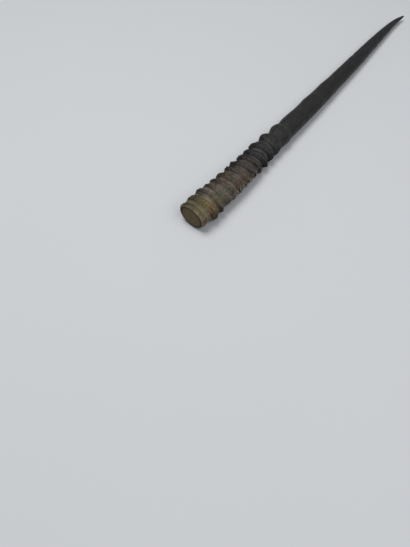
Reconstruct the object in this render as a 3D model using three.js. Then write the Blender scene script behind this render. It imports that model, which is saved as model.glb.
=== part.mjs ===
// Gemsbok horn, sawn off flat at the foot and lying on its side. It grew as one piece.
// Millimetres. +X runs from the foot to the tip, and +Z is up from the surface it lies on.

import * as THREE from 'three';

const { clamp, degToRad, lerp } = THREE.MathUtils;

// Driving dimensions
const LENGTH = 890;
const TIP_ROUNDING = 3;
const SECTION_HEIGHT = 0.92; // a section's height over its width
const FRONT_ANGLE = degToRad(26); // where the front faces, from +Y up towards +Z

// Radius of the body between the rings: [distance from the foot, radius]
const BODY_RADIUS = [
  [0, 26.8], [60, 27.1], [110, 25.5], [160, 22.9], [215, 19.6], [260, 20.2], [310, 21], [440, 20.1],
  [520, 18.4], [600, 17.2], [680, 14.9], [760, 11.9], [820, 8.6], [860, 5.8], [890, 2],
];

// Sideways bend of the axis: [distance from the foot, offset along Y]
const BEND = [
  [0, 4.2], [40, 3.4], [75, 0.4], [120, -1.5], [165, -1], [210, 2.2], [260, -0.3], [310, 0.2],
  [400, 1.1], [480, 2.7], [560, 3.9], [640, 5.6], [720, 7.9], [800, 9.2], [850, 8], [890, 2.5],
];

// Height of the axis, which leaves the horn resting on a ring near the foot and again halfway along, on
// small worn flats: [distance from the foot, height]
const AXIS_HEIGHT = [[0, 29.3], [500, 17.1], [700, 13.6], [890, 11.2]];

// Rings from the foot up. Each pair holds the value on the horn's front and on its back: how far from the
// foot the crest and the groove after it lie, and how high the crest stands over the body.
const RINGS = [
  { crest: [6, 9], groove: [14, 22], height: [3.5, 3] },
  { crest: [28, 35], groove: [39, 48], height: [4, 7.6] },
  { crest: [53, 58], groove: [61, 64.5], height: [4.2, 5.4] },
  { crest: [72, 81], groove: [78.5, 87.5], height: [4.2, 1.8] },
  { crest: [89, 96.5], groove: [99, 108], height: [4.2, 3.2] },
  { crest: [108.5, 118], groove: [120, 126.5], height: [5.4, 2.3] },
  { crest: [121, 137], groove: [122, 139.5], height: [0, 3.8] },
  { crest: [132, 152], groove: [140, 163.5], height: [6, 3] },
  { crest: [151, 167], groove: [161, 181], height: [7.2, 4] },
  { crest: [172, 187], groove: [185, 200.5], height: [6.8, 7.6] },
  { crest: [195, 208], groove: [209, 222], height: [6.4, 9.6] },
  { crest: [219, 230.5], groove: [237, 242], height: [7.4, 8.3] },
  { crest: [252, 252], groove: [271.5, 270.5], height: [8, 4] },
  { crest: [293, 296], groove: [310, 308], height: [5, 2.2] },
  { crest: [336, 346], groove: [375, 380], height: [2.2, 0.6] },
  { crest: [417, 420], groove: [440, 443], height: [1.6, 0.4] },
  { crest: [484, 484], groove: [520, 520], height: [0.8, 0.8] },
];

// How far a ring's upper flank leans back towards the foot and its lower flank on towards the tip:
// [distance from the foot, lean]
const RING_LEAN = [[0, 0], [70, 7], [130, 7], [190, 5], [240, 4], [310, 7], [400, 0], [890, 0]];

const FRONT_ROUNDNESS = 1.7; // power of a ring's fall from crest to groove: 1 is a straight-sided ridge
const BACK_ROUNDNESS = 1.1;
const FLANK_HEIGHT = 0.7; // a ring's height on the flanks, as a share of front and back

// Mesh density
const SEGMENTS = 32;
const RING_STEPS = [-1, -0.75, -0.4, 0, 0.4, 0.75]; // from the groove before a crest, at -1, towards the next
const SMOOTH_ROWS = 16;
const TIP_STEPS = [degToRad(30), degToRad(60)];

// A smooth curve through points [distance, value]
function curveThrough(points) {
  const last = points.length - 1;
  const slopes = points.map((point, i) => {
    const before = points[Math.max(i - 1, 0)];
    const after = points[Math.min(i + 1, last)];
    return (after[1] - before[1]) / (after[0] - before[0]);
  });
  return (distance) => {
    const next = points.findIndex((point) => point[0] > distance);
    const i = next < 0 ? last - 1 : Math.max(next - 1, 0);
    const [start, startValue] = points[i];
    const [end, endValue] = points[i + 1];
    const span = end - start;
    const t = clamp((distance - start) / span, 0, 1);
    const ease = t * t * (3 - 2 * t);
    const bulge = t * (1 - t) * (slopes[i] * (1 - t) - slopes[i + 1] * t) * span;
    return lerp(startValue, endValue, ease) + bulge;
  };
}

const bodyRadius = curveThrough(BODY_RADIUS);
const bend = curveThrough(BEND);
const axisHeight = curveThrough(AXIS_HEIGHT);
const ringLean = curveThrough(RING_LEAN);

// The radius of the body, rounded off at the tip
function radiusAt(distance) {
  const left = clamp((LENGTH - distance) / TIP_ROUNDING, 0, 1);
  return bodyRadius(distance) * Math.sqrt(1 - (1 - left) ** 2);
}

// Rows of the surface from foot to tip: distances on the front and back, the step across its ring and the
// ring's heights
function surfaceRows() {
  const rows = [];
  let before = [0, 0];
  for (const { crest, groove, height } of RINGS) {
    for (const step of RING_STEPS) {
      const distances = crest.map((middle, side) => {
        const reach = step < 0 ? middle - before[side] : groove[side] - middle;
        return middle + step * reach;
      });
      rows.push({ distances, step, height });
    }
    before = groove;
  }
  const tipStart = LENGTH - TIP_ROUNDING;
  for (let i = 0; i <= SMOOTH_ROWS; i += 1) {
    const distances = before.map((start) => lerp(start, tipStart, i / SMOOTH_ROWS));
    rows.push({ distances, step: 1, height: [0, 0] });
  }
  for (const angle of TIP_STEPS) {
    const distance = tipStart + TIP_ROUNDING * Math.sin(angle);
    rows.push({ distances: [distance, distance], step: 1, height: [0, 0] });
  }
  return rows;
}

function axisPoint(distance) {
  return new THREE.Vector3(distance, bend(distance), axisHeight(distance));
}

// A point of a row at an angle round the axis, measured from +Y up towards +Z. The flat facets between the
// points touch the true surface at their middles.
function surfacePoint({ distances, step, height }, angle) {
  const facing = Math.cos(angle - FRONT_ANGLE); // 1 on the front, -1 on the back
  const back = (1 - facing) / 2;
  const lean = ringLean((distances[0] + distances[1]) / 2) * Math.sin(angle - FRONT_ANGLE);
  const distance = lerp(distances[0], distances[1], back) - lean;
  const ringHeight = lerp(height[0], height[1], back) * lerp(FLANK_HEIGHT, 1, facing ** 2);
  const roundness = lerp(FRONT_ROUNDNESS, BACK_ROUNDNESS, back);
  const profile = 1 - Math.abs(step) ** roundness;
  const radius = (radiusAt(distance) + ringHeight * profile) / Math.cos(Math.PI / SEGMENTS);
  const offset = new THREE.Vector3(0, Math.cos(angle), SECTION_HEIGHT * Math.sin(angle));
  const point = axisPoint(distance).addScaledVector(offset, radius);
  point.z = Math.max(point.z, 0); // the places that it lies on are worn flat
  return point;
}

// The closed surface: rows of points joined by bands of triangles, a flat foot and a pointed tip
function hornGeometry() {
  const rows = surfaceRows();
  const points = rows.flatMap((row) => Array.from({ length: SEGMENTS }, (unused, j) => {
    return surfacePoint(row, ((j + 0.5) * 2 * Math.PI) / SEGMENTS);
  }));
  const foot = points.push(axisPoint(0)) - 1;
  const tip = points.push(axisPoint(LENGTH)) - 1;
  const faces = [];
  const lastRow = (rows.length - 1) * SEGMENTS;
  for (let j = 0; j < SEGMENTS; j += 1) {
    const k = (j + 1) % SEGMENTS;
    faces.push(foot, k, j, tip, lastRow + j, lastRow + k);
    for (let row = 0; row < lastRow; row += SEGMENTS) {
      const next = row + SEGMENTS;
      faces.push(row + j, row + k, next + k, row + j, next + k, next + j);
    }
  }
  const geometry = new THREE.BufferGeometry().setFromPoints(points);
  geometry.setIndex(faces);
  geometry.computeVertexNormals();
  return geometry;
}

const keratin = new THREE.MeshStandardMaterial({ color: 0x3b3835, roughness: 0.55, metalness: 0 });
const horn = new THREE.Mesh(hornGeometry(), keratin);
horn.name = 'horn';

// The origin is on the surface that the horn lies on, under the middle of its bounding box
const box = new THREE.Box3().setFromObject(horn);
const middle = box.getCenter(new THREE.Vector3());
horn.position.set(-middle.x, -middle.y, -box.min.z);

const group = new THREE.Group();
group.add(horn);

export default group;
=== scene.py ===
import math
from types import SimpleNamespace

import bpy
import numpy as np
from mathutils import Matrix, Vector


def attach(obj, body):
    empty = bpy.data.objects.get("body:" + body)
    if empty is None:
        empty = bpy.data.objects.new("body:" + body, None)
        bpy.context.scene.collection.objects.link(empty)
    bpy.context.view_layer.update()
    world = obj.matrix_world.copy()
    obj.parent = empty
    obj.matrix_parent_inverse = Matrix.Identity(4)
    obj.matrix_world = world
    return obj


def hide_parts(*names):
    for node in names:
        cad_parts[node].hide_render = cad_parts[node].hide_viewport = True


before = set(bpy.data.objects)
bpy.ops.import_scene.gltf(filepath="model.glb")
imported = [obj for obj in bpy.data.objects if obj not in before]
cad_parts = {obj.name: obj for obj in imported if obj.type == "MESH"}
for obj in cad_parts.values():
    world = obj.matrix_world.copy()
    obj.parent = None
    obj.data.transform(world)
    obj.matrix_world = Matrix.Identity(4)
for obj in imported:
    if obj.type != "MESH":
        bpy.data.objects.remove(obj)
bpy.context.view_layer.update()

rng = np.random.default_rng(7)
MM = 0.001

# The horn's dimensions in millimetres, from the middle of its sawn foot with the tip towards +X. They are the
# solid's, apart from the rings, which are rounder here.

LENGTH = 890
TIP_ROUNDING = 3
SECTION_HEIGHT = 0.92  # a section's height over its width
FRONT_ANGLE = math.radians(26)  # where the front faces, from +Y up towards +Z
FRONT_ROUNDNESS = 1.9  # power of a ring's fall from crest to groove: 1 is a straight-sided ridge
BACK_ROUNDNESS = 1.3
FLANK_HEIGHT = 0.7  # a ring's height on the flanks, as a share of front and back
WORN_EDGE = 0.7  # how much smaller the sawn face is than the section behind it
FOOT_IN_FRAME = np.array([-LENGTH / 2, -2.672, 0])

# Radius of the body between the rings: distance from the foot, radius
BODY_RADIUS = [
    (0, 26.8), (60, 27.1), (110, 25.5), (160, 22.9), (215, 19.6), (260, 20.2), (310, 21), (440, 20.1),
    (520, 18.4), (600, 17.2), (680, 14.9), (760, 11.9), (820, 8.6), (860, 5.8), (890, 2),
]

# Sideways bend of the axis: distance from the foot, offset along Y
BEND = [
    (0, 4.2), (40, 3.4), (75, 0.4), (120, -1.5), (165, -1), (210, 2.2), (260, -0.3), (310, 0.2),
    (400, 1.1), (480, 2.7), (560, 3.9), (640, 5.6), (720, 7.9), (800, 9.2), (850, 8), (890, 2.5),
]

# Height of the axis over the floor: distance from the foot, height
AXIS_HEIGHT = [(0, 29.3), (500, 17.1), (700, 13.6), (890, 11.2)]

# Rings from the foot up, each as crest, groove after it and height, with the front's and the back's value
RINGS = [
    ((6, 9), (14, 22), (3.5, 3)),
    ((28, 35), (39, 48), (4, 7.6)),
    ((53, 58), (61, 64.5), (4.2, 5.4)),
    ((72, 81), (78.5, 87.5), (4.2, 1.8)),
    ((89, 96.5), (99, 108), (4.2, 3.2)),
    ((108.5, 118), (120, 126.5), (5.4, 2.3)),
    ((121, 137), (122, 139.5), (0, 3.8)),
    ((132, 152), (140, 163.5), (6, 3)),
    ((151, 167), (161, 181), (7.2, 4)),
    ((172, 187), (185, 200.5), (6.8, 7.6)),
    ((195, 208), (209, 222), (6.4, 9.6)),
    ((219, 230.5), (237, 242), (7.4, 8.3)),
    ((252, 252), (271.5, 270.5), (8, 4)),
    ((293, 296), (310, 308), (5, 2.2)),
    ((336, 346), (375, 380), (2.2, 0.6)),
    ((417, 420), (440, 443), (1.6, 0.4)),
    ((484, 484), (520, 520), (0.8, 0.8)),
]

# How far a ring's upper flank leans back towards the foot and its lower flank on towards the tip
RING_LEAN = [(0, 0), (70, 7), (130, 7), (190, 5), (240, 4), (310, 7), (400, 0), (890, 0)]

# Growth creases, with a low ridge beside each
CREASES = 54
CREASE_GAPS = (2.4, 8.2)
CREASE_DEPTHS = (0.15, 0.95)
CREASE_WIDTH = 0.9
RIDGE_OFFSET = 2
RIDGE_WIDTH = 1.0
RIDGE_HEIGHT = 0.4  # as a share of its crease's depth

# Density of the mesh: points round a section, and millimetres between rows
AROUND = 160
RING_SPACING = 0.72
LOW_RINGS_START = 240
LOW_RING_SPACING = 1.5
LONG_FLANK = 30
LONG_FLANK_SPACING = 2.4
SMOOTH_ROWS = 58
TIP_ANGLES = np.radians([20, 40, 60, 78])
FACE_ROWS = (0.04, 0.3, 0.6, 0.85)  # of the sawn face, from its middle to its edge
NO_GROOVE = 99  # the distance that stands for no groove near


def curve(points):
    """A smooth curve through points, each as distance and value."""
    x, y = np.array(points, float).T
    last = len(x) - 1
    index = np.arange(last + 1)
    before, after = np.maximum(index - 1, 0), np.minimum(index + 1, last)
    slope = (y[after] - y[before]) / (x[after] - x[before])

    def at(distance):
        i = np.clip(np.searchsorted(x, distance, side="right") - 1, 0, last - 1)
        span = x[i + 1] - x[i]
        t = np.clip((distance - x[i]) / span, 0, 1)
        bulge = t * (1 - t) * (slope[i] * (1 - t) - slope[i + 1] * t) * span
        return y[i] + (y[i + 1] - y[i]) * t * t * (3 - 2 * t) + bulge

    return at


body_radius = curve(BODY_RADIUS)
bend = curve(BEND)
axis_height = curve(AXIS_HEIGHT)
ring_lean = curve(RING_LEAN)


def axis_point(distance):
    return np.array([distance, bend(distance), axis_height(distance)])


def in_frame(point):
    return (np.array(point) + FOOT_IN_FRAME) * MM


def lerp(a, b, t):
    return a + (b - a) * t


def fade(x, start, end):
    """0 before start and 1 past end, smooth in between."""
    t = np.clip((x - start) / (end - start), 0, 1)
    return t * t * (3 - 2 * t)


def bell(x, width):
    return np.exp(-((x / width) ** 2))


def middle(pair):
    return (pair[0] + pair[1]) / 2


def waves(along, angle, length, turns, count=24):
    """Smooth seeded noise of about -1 to 1, with no seam round the horn: waves of about length mm along it
    and up to turns of them round it."""
    total = np.zeros(np.broadcast(along, angle).shape)
    for _ in range(count):
        k = rng.integers(0, turns + 1)
        wavelength = length * rng.uniform(0.7, 1.8)
        total += np.sin(along * 2 * np.pi / wavelength + k * angle + rng.uniform(0, 2 * np.pi))
    return total / math.sqrt(count) * 1.1


def row_spacing(crest, reach):
    if reach >= LONG_FLANK:
        return LONG_FLANK_SPACING
    return RING_SPACING if crest < LOW_RINGS_START else LOW_RING_SPACING


def surface_rows():
    """Rows of the surface from foot to tip, as columns: distance on the front and on the back, step across
    the ring, the ring's height on the front and on the back, and how far the row lies past the groove before
    it and short of the groove after it. A step is -1 and 1 at the grooves and 0 at the crest."""
    rows = []
    before = (0, 0)
    for crest, groove, heights in RINGS:
        width = middle(groove) - middle(before)
        for first_step, start, end in ((-1, before, crest), (0, crest, groove)):
            reach = max(abs(end[0] - start[0]), abs(end[1] - start[1]))
            count = max(3, round(reach / row_spacing(crest[0], reach)))
            for t in np.arange(count) / count:
                distances = lerp(start[0], end[0], t), lerp(start[1], end[1], t)
                past = lerp(middle(start), middle(end), t) - middle(before)
                rows.append((*distances, first_step + t, *heights, past, width - past))
        before = groove
    tip_start = LENGTH - TIP_ROUNDING
    beyond = [lerp(before[0], tip_start, t) for t in np.linspace(0, 1, SMOOTH_ROWS)]
    beyond += [tip_start + TIP_ROUNDING * math.sin(angle) for angle in TIP_ANGLES]
    rows += [(distance, distance, 1, 0, 0, NO_GROOVE, NO_GROOVE) for distance in beyond]
    return np.array(rows).T[:, :, None]


def growth_lines(station, angle, facing):
    """Creases that run round the horn between the grooves, and the ridges beside them."""
    centres = np.cumsum(rng.uniform(*CREASE_GAPS, CREASES)) + 3
    depths = rng.uniform(*CREASE_DEPTHS, CREASES)
    past = station[:, :1] - centres
    where = np.clip(0.5 + 0.55 * waves(station, angle, 30, 3) - 0.25 * facing, 0.1, 1.2)
    where = where * (1 - fade(station, 225, 300))
    creases = (depths * bell(past, CREASE_WIDTH)).sum(1, keepdims=True) * where
    ridges = (depths * bell(past - RIDGE_OFFSET, RIDGE_WIDTH)).sum(1, keepdims=True) * where
    return creases, ridges


def fine_relief(station, angle, facing, ringed, relief):
    """Knobs on the front and back edges of the rings, flutes that run lengthwise, and low lumps."""
    knobby = ringed * np.abs(facing) ** 1.5 * np.clip(relief / 3.5, 0.15, 1)
    knobs = np.clip(waves(station, angle, 7, 26, 70), -2, 1.2) * lerp(0.08, 0.55, knobby) * ringed
    fluted = ringed * np.clip(relief / 5, 0, 1)
    flutes = waves(station, angle, 90, 46, 60) * lerp(0.05, 0.16, fluted)
    lumps = 0.16 * waves(station, angle, 38, 5) * (1 - fade(station, 700, 860))
    return knobs, flutes, lumps


def groove_dust_and_shade(station, angle, facing, height, past, short):
    """Dust in the grooves, and painted shade on the foot of the ring that follows each groove."""
    strong = np.clip(height / 4, 0, 1)
    patchy = np.clip(0.62 + 0.5 * waves(station, angle, 50, 5) - 0.35 * facing, 0, 1)
    near_foot = 1 - fade(station, 60, 150)
    on_low_rings = fade(station, 245, 300)
    wider = 2.5 * near_foot + 4.5 * on_low_rings
    dust = np.maximum(bell(past, 0.8 + wider), bell(short, 1.5 + wider)) * strong * patchy
    # Painted shade on the foot of the ring that follows each groove
    dark = bell(past - (3.6 + 4.4 * near_foot), 1.8 + 1.7 * near_foot) * strong
    dark = dark * np.clip(0.8 + 0.4 * waves(station, angle, 60, 5), 0, 1) * (1 - on_low_rings)
    return dust, dark


def horn_surface():
    """The surface's points, row by row from the foot, and the values that the material reads at each."""
    front, back, step, front_height, back_height, past, short = surface_rows()
    angle = (np.arange(AROUND) + 0.5) * 2 * np.pi / AROUND
    facing = np.cos(angle - FRONT_ANGLE)  # 1 on the front, -1 on the back
    upper = np.sin(angle - FRONT_ANGLE)
    behind = (1 - facing) / 2
    station = (front + back) / 2 + 0 * angle
    distance = lerp(front, back, behind) - ring_lean(station) * upper

    ringed = 1 - fade(station, 250, 330)
    inside = fade(station, 0, 14) * (1 - fade(station, 820, 885))
    along = distance + inside * (0.9 * ringed + 0.5) * waves(station, angle, 60, 4)
    along[0] = 0

    height = lerp(front_height, back_height, behind) * lerp(FLANK_HEIGHT, 1, facing**2)
    profile = 1 - np.abs(step) ** lerp(FRONT_ROUNDNESS, BACK_ROUNDNESS, behind)
    relief = height * profile * (1 + 0.13 * waves(station, angle, 45, 6))
    creases, ridges = growth_lines(station, angle, facing)
    knobs, flutes, lumps = fine_relief(station, angle, facing, ringed, relief)
    dust, dark = groove_dust_and_shade(station, angle, facing, height, past, short)

    left = np.clip((LENGTH - distance) / TIP_ROUNDING, 0, 1)
    radius = body_radius(distance) * np.sqrt(1 - (1 - left) ** 2)
    radius = radius + relief + (knobs + RIDGE_HEIGHT * ridges - creases + flutes + lumps) * inside
    radius[0] -= WORN_EDGE
    y = bend(distance) + radius * np.cos(angle)
    z = np.maximum(axis_height(distance) + SECTION_HEIGHT * radius * np.sin(angle), 0)

    values = {
        "station": station / LENGTH,
        "facing": 0.5 + 0.5 * facing + 0 * station,
        "relief": relief / 6,
        "creases": creases / 0.6,
        "ridges": ridges / 0.6,
        "knobs": 0.5 + 0.8 * knobs,
        "dust": dust,
        # dark is painted shade on the foot of each ring
        "dark": dark,
    }
    return np.stack([along, y, z], -1), {name: np.clip(value, 0, 1) for name, value in values.items()}


def horn_piece():
    """The closed mesh: the sawn face's rows and the surface's, with a point at the middle and at the tip."""
    points, values = horn_surface()
    face = [lerp(axis_point(0.0), points[0], share) for share in FACE_ROWS]
    rows = np.concatenate([np.array(face), points])
    ends = [axis_point(0.0), axis_point(float(LENGTH))]
    places = in_frame(np.concatenate([rows.reshape(-1, 3), ends]))

    count = len(rows)
    j = np.arange(AROUND)
    k = (j + 1) % AROUND
    starts = np.arange(count - 1)[:, None] * AROUND
    corners = [starts + j, starts + k, starts + AROUND + k, starts + AROUND + j]
    quads = np.stack(corners, -1).reshape(-1, 4)
    last = (count - 1) * AROUND
    middle_point = count * AROUND
    tip_point = middle_point + 1
    edges = list(zip(j.tolist(), k.tolist()))
    caps = [(middle_point, b, a) for a, b in edges]
    caps += [(last + a, last + b, tip_point) for a, b in edges]
    mesh = bpy.data.meshes.new("horn_surface")
    mesh.from_pydata(places.tolist(), [], quads.tolist() + caps)

    # The sawn face stays flat to its crisp edge, and the rest is smooth
    smooth = np.ones(len(mesh.polygons), bool)
    smooth[: len(face) * AROUND] = False
    smooth[len(quads) : len(quads) + AROUND] = False
    mesh.polygons.foreach_set("use_smooth", smooth)

    for name, value in values.items():
        on_face = np.repeat(value[:1], len(face), axis=0)
        flat = np.concatenate([on_face.ravel(), value.ravel(), [value[0, 0], value[-1, 0]]])
        kept = mesh.attributes.new(name, "FLOAT", "POINT")
        kept.data.foreach_set("value", flat.astype(np.float32))
    mesh.validate()
    piece = bpy.data.objects.new("horn_skin", mesh)
    bpy.context.collection.objects.link(piece)
    return piece


# Materials

def srgb(r, g, b):
    """A colour given as 0 to 255 values of a screen, in the renderer's linear light."""
    linear = [c / 255 / 12.92 if c <= 10 else ((c / 255 + 0.055) / 1.055) ** 2.4 for c in (r, g, b)]
    return (*linear, 1.0)


class Nodes:
    """Short names for the shader nodes of one material. A value may be a number, a colour or a socket."""

    def __init__(self, name):
        self.material = bpy.data.materials.new(name)
        self.material.use_nodes = True
        self.tree = self.material.node_tree
        self.tree.nodes.clear()

    def add(self, kind, inputs=(), **settings):
        made = self.tree.nodes.new(kind)
        for key, value in settings.items():
            setattr(made, key, value)
        for key, value in dict(inputs).items():
            self.put(made.inputs[key], value)
        return made

    def put(self, socket, value):
        if isinstance(value, bpy.types.NodeSocket):
            self.tree.links.new(value, socket)
        else:
            socket.default_value = value

    def place(self):
        return self.add("ShaderNodeTexCoord").outputs["Object"]

    def attribute(self, name):
        return self.add("ShaderNodeAttribute", attribute_name=name).outputs["Fac"]

    def math(self, operation, a, b):
        return self.add("ShaderNodeMath", {0: a, 1: b}, operation=operation).outputs[0]

    def plus(self, a, b):
        return self.math("ADD", a, b)

    def times(self, a, b):
        return self.math("MULTIPLY", a, b)

    def span(self, value, low, high, to_low=0.0, to_high=1.0):
        """to_low where the value is at low, to_high where it is at high, smooth in between."""
        inputs = {"Value": value, "From Min": low, "From Max": high, "To Min": to_low, "To Max": to_high}
        return self.add("ShaderNodeMapRange", inputs, interpolation_type="SMOOTHSTEP").outputs[0]

    def mix(self, share, a, b, blend="MIX"):
        made = self.add("ShaderNodeMix", data_type="RGBA", blend_type=blend)
        self.put(made.inputs[0], share)
        self.put(made.inputs[6], a)
        self.put(made.inputs[7], b)
        return made.outputs[2]

    def shade(self, share, colour, tint):
        """The colour, multiplied by a tint as far as the share goes."""
        return self.mix(share, colour, self.mix(1.0, colour, tint, "MULTIPLY"))

    def grey(self, value):
        return self.add("ShaderNodeCombineColor", {0: value, 1: value, 2: value}).outputs[0]

    def ramp(self, value, stops):
        made = self.add("ShaderNodeValToRGB", {"Fac": value})
        elements = made.color_ramp.elements
        while len(elements) < len(stops):
            elements.new(0.5)
        for element, (position, colour) in zip(elements, stops):
            element.position = position
            element.color = colour
        return made.outputs["Color"]

    def noise(self, vector, scale, detail, roughness):
        inputs = {"Vector": vector, "Scale": scale, "Detail": detail, "Roughness": roughness}
        return self.add("ShaderNodeTexNoise", inputs).outputs["Fac"]

    def line(self, value):
        """A vector for noise that changes with one value alone."""
        return self.add("ShaderNodeCombineXYZ", {"X": value}).outputs[0]

    def stretch(self, vector, scale):
        return self.add("ShaderNodeVectorMath", {0: vector, 1: scale}, operation="MULTIPLY").outputs[0]

    def distance(self, vector, point):
        made = self.add("ShaderNodeVectorMath", {0: vector, 1: tuple(point)}, operation="DISTANCE")
        return made.outputs["Value"]


# Colour along the horn: share of its length, and a screen colour
KERATIN = [
    (0.0, (116, 109, 84)),
    (0.045, (103, 96, 78)),
    (0.09, (86, 80, 72)),
    (0.15, (83, 75, 68)),
    (0.19, (63, 60, 59)),
    (0.24, (51, 51, 51)),
    (0.33, (44, 44, 43)),
    (0.6, (38, 38, 38)),
    (1.0, (41, 42, 45)),
]

# Grey, plain, brown and purple patches of the ringed part: place in the noise, and what multiplies the colour
TINTS = [
    (0.34, (0.9, 0.96, 0.96, 1)),
    (0.45, (1.0, 1.0, 1.0, 1)),
    (0.55, (1.14, 0.98, 0.88, 1)),
    (0.66, (1.03, 0.95, 1.1, 1)),
]

# Stains: place in millimetres from the middle of the foot, radius, screen colour and strength
STAINS = [
    ((29, -8, 54), 13, (112, 104, 48), 0.7),
    ((33, -23, 44), 12, (120, 84, 46), 0.7),
    ((16, 2, 53), 22, (84, 82, 56), 0.6),
    ((56, -20, 46), 16, (82, 78, 50), 0.5),
    ((106, 5, 52), 11, (108, 78, 54), 0.55),
    ((116, -20, 40), 15, (84, 58, 48), 0.6),
    ((108, -26, 32), 13, (76, 72, 48), 0.5),
    ((146, -26, 30), 12, (88, 66, 46), 0.55),
    ((46, 10, 50), 13, (86, 76, 92), 0.45),
    ((168, 6, 44), 20, (76, 62, 60), 0.5),
    ((40, 26, 20), 26, (92, 82, 52), 0.5),
    ((90, 24, 12), 24, (88, 68, 52), 0.5),
    ((60, 0, 4), 30, (86, 76, 56), 0.5),
]

# What multiplies the colour: painted shade, a painted highlight on the ridges, streaks and specks
CREASE_PAINTED_SHADE = (0.42, 0.4, 0.38, 1)
RIDGE_PAINTED_HIGHLIGHT = (1.7, 1.68, 1.62, 1)
RING_FOOT_PAINTED_SHADE = (0.34, 0.32, 0.3, 1)
FLANK_PAINTED_SHADE = (0.5, 0.5, 0.52, 1)
RIM_PAINTED_SHADE = (0.26, 0.26, 0.24, 1)
STREAK_SHADE = (0.5, 0.5, 0.51, 1)
SPECK_SHINE = (1.6, 1.55, 1.45, 1)

# Painted shade in the pits between the knobs
PIT_PAINTED_SHADE = srgb(14, 12, 11)
CHIP = srgb(166, 152, 130)
FOOT_DUST = srgb(122, 114, 100)
RING_DUST = srgb(112, 112, 110)
LOW_RING_DUST = srgb(64, 66, 63)

# Layers of the sawn face: place in the noise, and a screen colour
CUT_LAYERS = [(0.38, (52, 43, 34)), (0.5, (98, 84, 64)), (0.62, (140, 122, 94))]
CUT_EDGE = srgb(46, 40, 34)
CUT_EDGE_RADII = (0.021, 0.027)  # in metres, where the edge's colour sets in and where it is full
SAWN_DEPTH = 0.05  # a point this near the foot's plane, in millimetres, is on the sawn face


def screen_stops(stops):
    return [(position, srgb(*colour)) for position, colour in stops]


def horn_fields(n):
    """What the horn's material reads at each point: its place in metres, the values kept in the mesh, and
    noises. Station is the share of the horn's length, and facing is 0 on the back and 1 on the front."""
    names = ("station", "facing", "relief", "creases", "ridges", "knobs", "dust", "dark")
    at = SimpleNamespace(**{name: n.attribute(name) for name in names})
    at.place = n.place()
    at.streaks = n.noise(n.stretch(at.place, (6.0, 90.0, 90.0)), 3.2, 4.0, 0.6)
    at.blotches = n.noise(at.place, 42.0, 4.0, 0.6)
    at.uneven = n.math("SUBTRACT", at.blotches, 0.5)
    at.mottle = n.noise(at.place, 160.0, 4.0, 0.65)
    at.specks = n.noise(at.place, 420.0, 2.0, 0.6)
    at.ringed = n.span(at.station, 0.2, 0.36, 1.0, 0.0)
    at.near_foot = n.span(at.station, 0.12, 0.24, 1.0, 0.0)
    x = n.add("ShaderNodeSeparateXYZ", {0: at.place}).outputs["X"]
    at.sawn = n.math("LESS_THAN", x, (FOOT_IN_FRAME[0] + SAWN_DEPTH) * MM)
    return at


def keratin_colour(n, at):
    # Colour along the horn, with an uneven border between its zones, and patches in the ringed part
    colour = n.ramp(n.plus(at.station, n.times(at.uneven, 0.09)), screen_stops(KERATIN))
    tints = n.ramp(n.noise(at.place, 34.0, 2.0, 0.5), TINTS)
    colour = n.shade(n.times(at.near_foot, 0.8), colour, tints)

    broken = n.span(at.mottle, 0.36, 0.6, 0.35, 1.0)
    for spot, radius, tint, strength in STAINS:
        size = radius * MM
        gap = n.plus(n.distance(at.place, in_frame(spot)), n.times(at.uneven, 2.2 * size))
        share = n.times(n.span(gap, 0.3 * size, 1.15 * size, strength, 0.0), broken)
        colour = n.mix(share, colour, srgb(*tint))

    # Light and dark mottling, strongest near the foot
    swing = n.grey(n.span(at.mottle, 0.3, 0.7, 0.62, 1.42))
    colour = n.shade(n.span(at.station, 0.15, 0.4, 0.9, 0.45), colour, swing)

    # Lighter and darker growth bands that follow the rings
    bands = n.noise(n.line(at.station), 190.0, 3.0, 0.6)
    swing = n.grey(n.span(bands, 0.32, 0.68, 0.76, 1.26))
    share = n.times(at.ringed, n.span(at.blotches, 0.35, 0.6, 0.35, 0.95))
    return n.shade(share, colour, swing)


def painted_shade_and_highlight(n, at, colour):
    # Painted shade in the creases and on the foot of each ring, and a painted highlight on the ridges
    colour = n.shade(n.times(at.creases, 0.8), colour, CREASE_PAINTED_SHADE)
    share = n.times(at.ridges, n.span(at.blotches, 0.4, 0.6, 0.2, 0.6))
    colour = n.shade(share, colour, RIDGE_PAINTED_HIGHLIGHT)
    colour = n.shade(n.times(at.dark, 0.9), colour, RING_FOOT_PAINTED_SHADE)

    # Painted shade towards the front of the rings, and towards the front and back of the smooth part
    edges = n.plus(n.span(at.facing, 0.72, 0.97, 0.0, 0.6), n.span(at.facing, 0.36, 0.12))
    smooth_part_shade = n.times(edges, n.span(at.station, 0.28, 0.38))
    ringed_front_shade = n.times(n.span(at.facing, 0.45, 0.8, 0.0, 0.55), n.span(at.station, 0.2, 0.3, 1.0, 0.0))
    return n.shade(n.math("MAXIMUM", smooth_part_shade, ringed_front_shade), colour, FLANK_PAINTED_SHADE)


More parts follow.
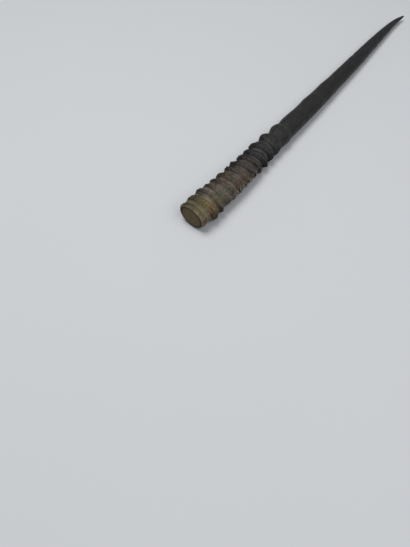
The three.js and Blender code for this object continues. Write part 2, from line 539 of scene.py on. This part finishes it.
def painted_edge_shade_and_chips(n, at, colour):
    # Painted shade: almost black rims on the crests' front and back edges, weaker on the back near the foot
    front_edge = n.times(n.span(at.facing, 0.68, 0.96), at.ringed)
    back_edge = n.times(n.span(at.facing, 0.24, 0.04), at.ringed)
    rims = n.plus(front_edge, n.times(back_edge, n.span(at.station, 0.02, 0.07, 0.5, 1.0)))
    rims = n.times(rims, n.span(at.relief, 0.05, 0.4))
    rims = n.times(rims, n.span(at.mottle, 0.3, 0.7, 1.0, 0.45))
    colour = n.shade(n.times(rims, 0.9), colour, RIM_PAINTED_SHADE)

    # Painted shade in the pits between the knobs, and pale chips on the knobs of the back edge
    pits = n.times(n.span(at.knobs, 0.42, 0.2), n.plus(front_edge, back_edge))
    colour = n.mix(n.times(pits, 0.75), colour, PIT_PAINTED_SHADE)
    chipped = n.times(n.span(at.station, 0.06, 0.12), n.span(at.station, 0.16, 0.23, 1.0, 0.0))
    chipped = n.times(chipped, n.times(n.span(at.facing, 0.24, 0.1), n.span(at.mottle, 0.4, 0.52)))
    chips = n.times(n.span(at.knobs, 0.51, 0.62), chipped)
    return n.mix(n.times(chips, 0.9), colour, CHIP)


def dusty_colour(n, at, colour):
    # Pale dust in the grooves, then dark streaks and light specks all over
    dust = n.mix(n.span(at.station, 0.25, 0.29), RING_DUST, LOW_RING_DUST)
    dust = n.mix(at.near_foot, dust, FOOT_DUST)
    colour = n.mix(n.times(at.dust, n.span(at.mottle, 0.3, 0.55, 0.45, 0.85)), colour, dust)
    colour = n.shade(n.span(at.streaks, 0.4, 0.6, 0.0, 0.5), colour, STREAK_SHADE)
    return n.shade(n.span(at.specks, 0.45, 0.75, 0.0, 0.25), colour, SPECK_SHINE)


def cut_colour(n, at):
    # The sawn face: layers round the middle, and a dark edge
    from_middle = n.plus(n.distance(at.place, in_frame(axis_point(0.0))), n.times(at.blotches, 0.004))
    colour = n.ramp(n.noise(n.line(from_middle), 900.0, 3.0, 0.6), screen_stops(CUT_LAYERS))
    return n.mix(n.span(from_middle, *CUT_EDGE_RADII), colour, CUT_EDGE)


def horn_bump(n, at):
    # Lengthwise striations, pits and growth lines on the outside, and saw marks on the sawn face
    striations = n.noise(n.stretch(at.place, (14.0, 420.0, 420.0)), 2.2, 3.0, 0.6)
    lines = n.noise(n.line(at.station), 700.0, 2.0, 0.5)
    saw_marks = n.noise(n.stretch(at.place, (1.0, 40.0, 900.0)), 1.0, 2.0, 0.6)
    outside = n.plus(n.times(striations, 0.5), n.times(at.specks, 0.45))
    outside = n.plus(outside, n.times(lines, n.times(at.ringed, 0.6)))
    outside = n.times(outside, n.math("SUBTRACT", 1.0, at.sawn))
    height = n.plus(outside, n.times(saw_marks, n.times(at.sawn, 0.8)))
    inputs = {"Strength": 0.55, "Distance": 0.4 * MM, "Height": height}
    return n.add("ShaderNodeBump", inputs).outputs["Normal"]


def horn_material():
    n = Nodes("horn_keratin")
    at = horn_fields(n)
    colour = keratin_colour(n, at)
    colour = painted_shade_and_highlight(n, at, colour)
    colour = painted_edge_shade_and_chips(n, at, colour)
    colour = dusty_colour(n, at, colour)
    colour = n.mix(at.sawn, colour, cut_colour(n, at))
    rough = n.plus(n.span(at.streaks, 0.3, 0.7, 0.4, 0.54), n.times(at.ringed, 0.28))
    rough = n.plus(rough, n.times(at.sawn, 0.2))
    shader = n.add("ShaderNodeBsdfPrincipled", {
        "Base Color": colour, "Roughness": rough, "Specular IOR Level": 0.2, "Normal": horn_bump(n, at),
    })
    n.add("ShaderNodeOutputMaterial", {"Surface": shader.outputs[0]})
    return n.material


def floor_material():
    n = Nodes("pale_floor")
    colour = n.mix(n.noise(n.place(), 2.0, 3.0, 0.55), srgb(194, 196, 199), srgb(196, 198, 201))
    inputs = {"Base Color": colour, "Roughness": 0.9, "Specular IOR Level": 0.1}
    shader = n.add("ShaderNodeBsdfPrincipled", inputs)
    n.add("ShaderNodeOutputMaterial", {"Surface": shader.outputs[0]})
    return n.material


horn = horn_piece()
horn.data.materials.append(horn_material())
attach(horn, "root")
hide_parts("horn")

# Floor, lights and camera, in metres

HALF_FLOOR = 6
floor_mesh = bpy.data.meshes.new("floor")
corner_signs = [(-1, -1), (1, -1), (1, 1), (-1, 1)]
corners = [(HALF_FLOOR * x, HALF_FLOOR * y, 0) for x, y in corner_signs]
floor_mesh.from_pydata(corners, [], [(0, 1, 2, 3)])
floor = bpy.data.objects.new("floor", floor_mesh)
floor.data.materials.append(floor_material())
bpy.context.collection.objects.link(floor)


def soft_light(name, place, target, width, watts):
    lamp = bpy.data.lights.new(name, "AREA")
    lamp.shape = "SQUARE"
    lamp.size = width
    lamp.energy = watts
    made = bpy.data.objects.new(name, lamp)
    made.location = place
    made.rotation_euler = (Vector(target) - Vector(place)).to_track_quat("-Z", "Y").to_euler()
    made.visible_camera = False
    bpy.context.collection.objects.link(made)


soft_light("key", place=(-0.6, 0.9, 3.3), target=(-0.1, 0, 0), width=1.8, watts=88)
soft_light("fill", place=(-0.3, -1.7, 2.7), target=(0, 0, 0), width=1.8, watts=34)

world = bpy.data.worlds.new("studio")
world.use_nodes = True
background = world.node_tree.nodes["Background"]
background.inputs["Color"].default_value = srgb(206, 209, 212)
background.inputs["Strength"].default_value = 0.3
scene = bpy.context.scene
scene.world = world
scene.view_settings.view_transform = "Standard"

# The camera looks down on the horn at the photo's angle to it
CAMERA_PLACE = (-0.7846, -0.3125, 0.659)
LOOKING_DOWN = math.radians(61.54)
HEADING = math.radians(39.47)  # from +X towards +Y
camera_data = bpy.data.cameras.new("camera")
camera_data.lens = 27
camera_data.sensor_width = 36
camera = bpy.data.objects.new("camera", camera_data)
camera.location = CAMERA_PLACE
camera.rotation_euler = (math.pi / 2 - LOOKING_DOWN, 0, HEADING - math.pi / 2)
bpy.context.collection.objects.link(camera)
scene.camera = camera
